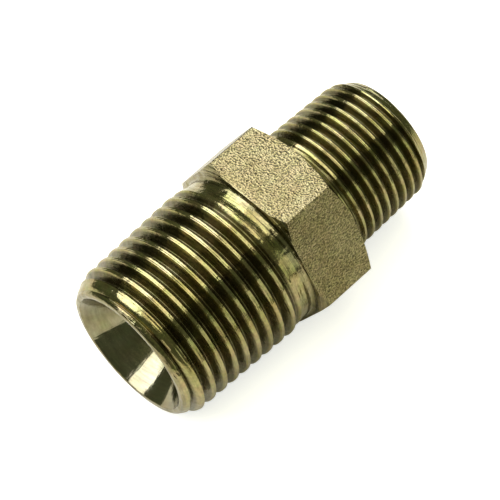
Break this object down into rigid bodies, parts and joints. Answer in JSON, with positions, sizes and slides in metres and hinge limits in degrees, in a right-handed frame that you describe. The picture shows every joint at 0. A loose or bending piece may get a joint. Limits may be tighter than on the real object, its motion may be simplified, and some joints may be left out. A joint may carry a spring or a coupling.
{
  "type": "hex nipple",
  "caption": "Reducing hex nipple: one plated steel piece with a taper pipe thread at each end, a spanner hex between them and a bore right through with cone seats.",
  "frame": {"origin": "on the flow axis, halfway between the two end faces", "axes": "+X along the flow axis towards the small (3/8) end, +Z square to the hex flat that faces up, so the opposite flat rests down"},
  "size_m": [0.043, 0.025, 0.0218],
  "materials": {
    "yellow_plated_steel": "yellow-green chromated zinc plating: bright on the turned and threaded surfaces, finely grained on the hex flats"
  },
  "bodies": {
    "root": {"nipple_body": "yellow_plated_steel"}
  },
  "joints": []
}
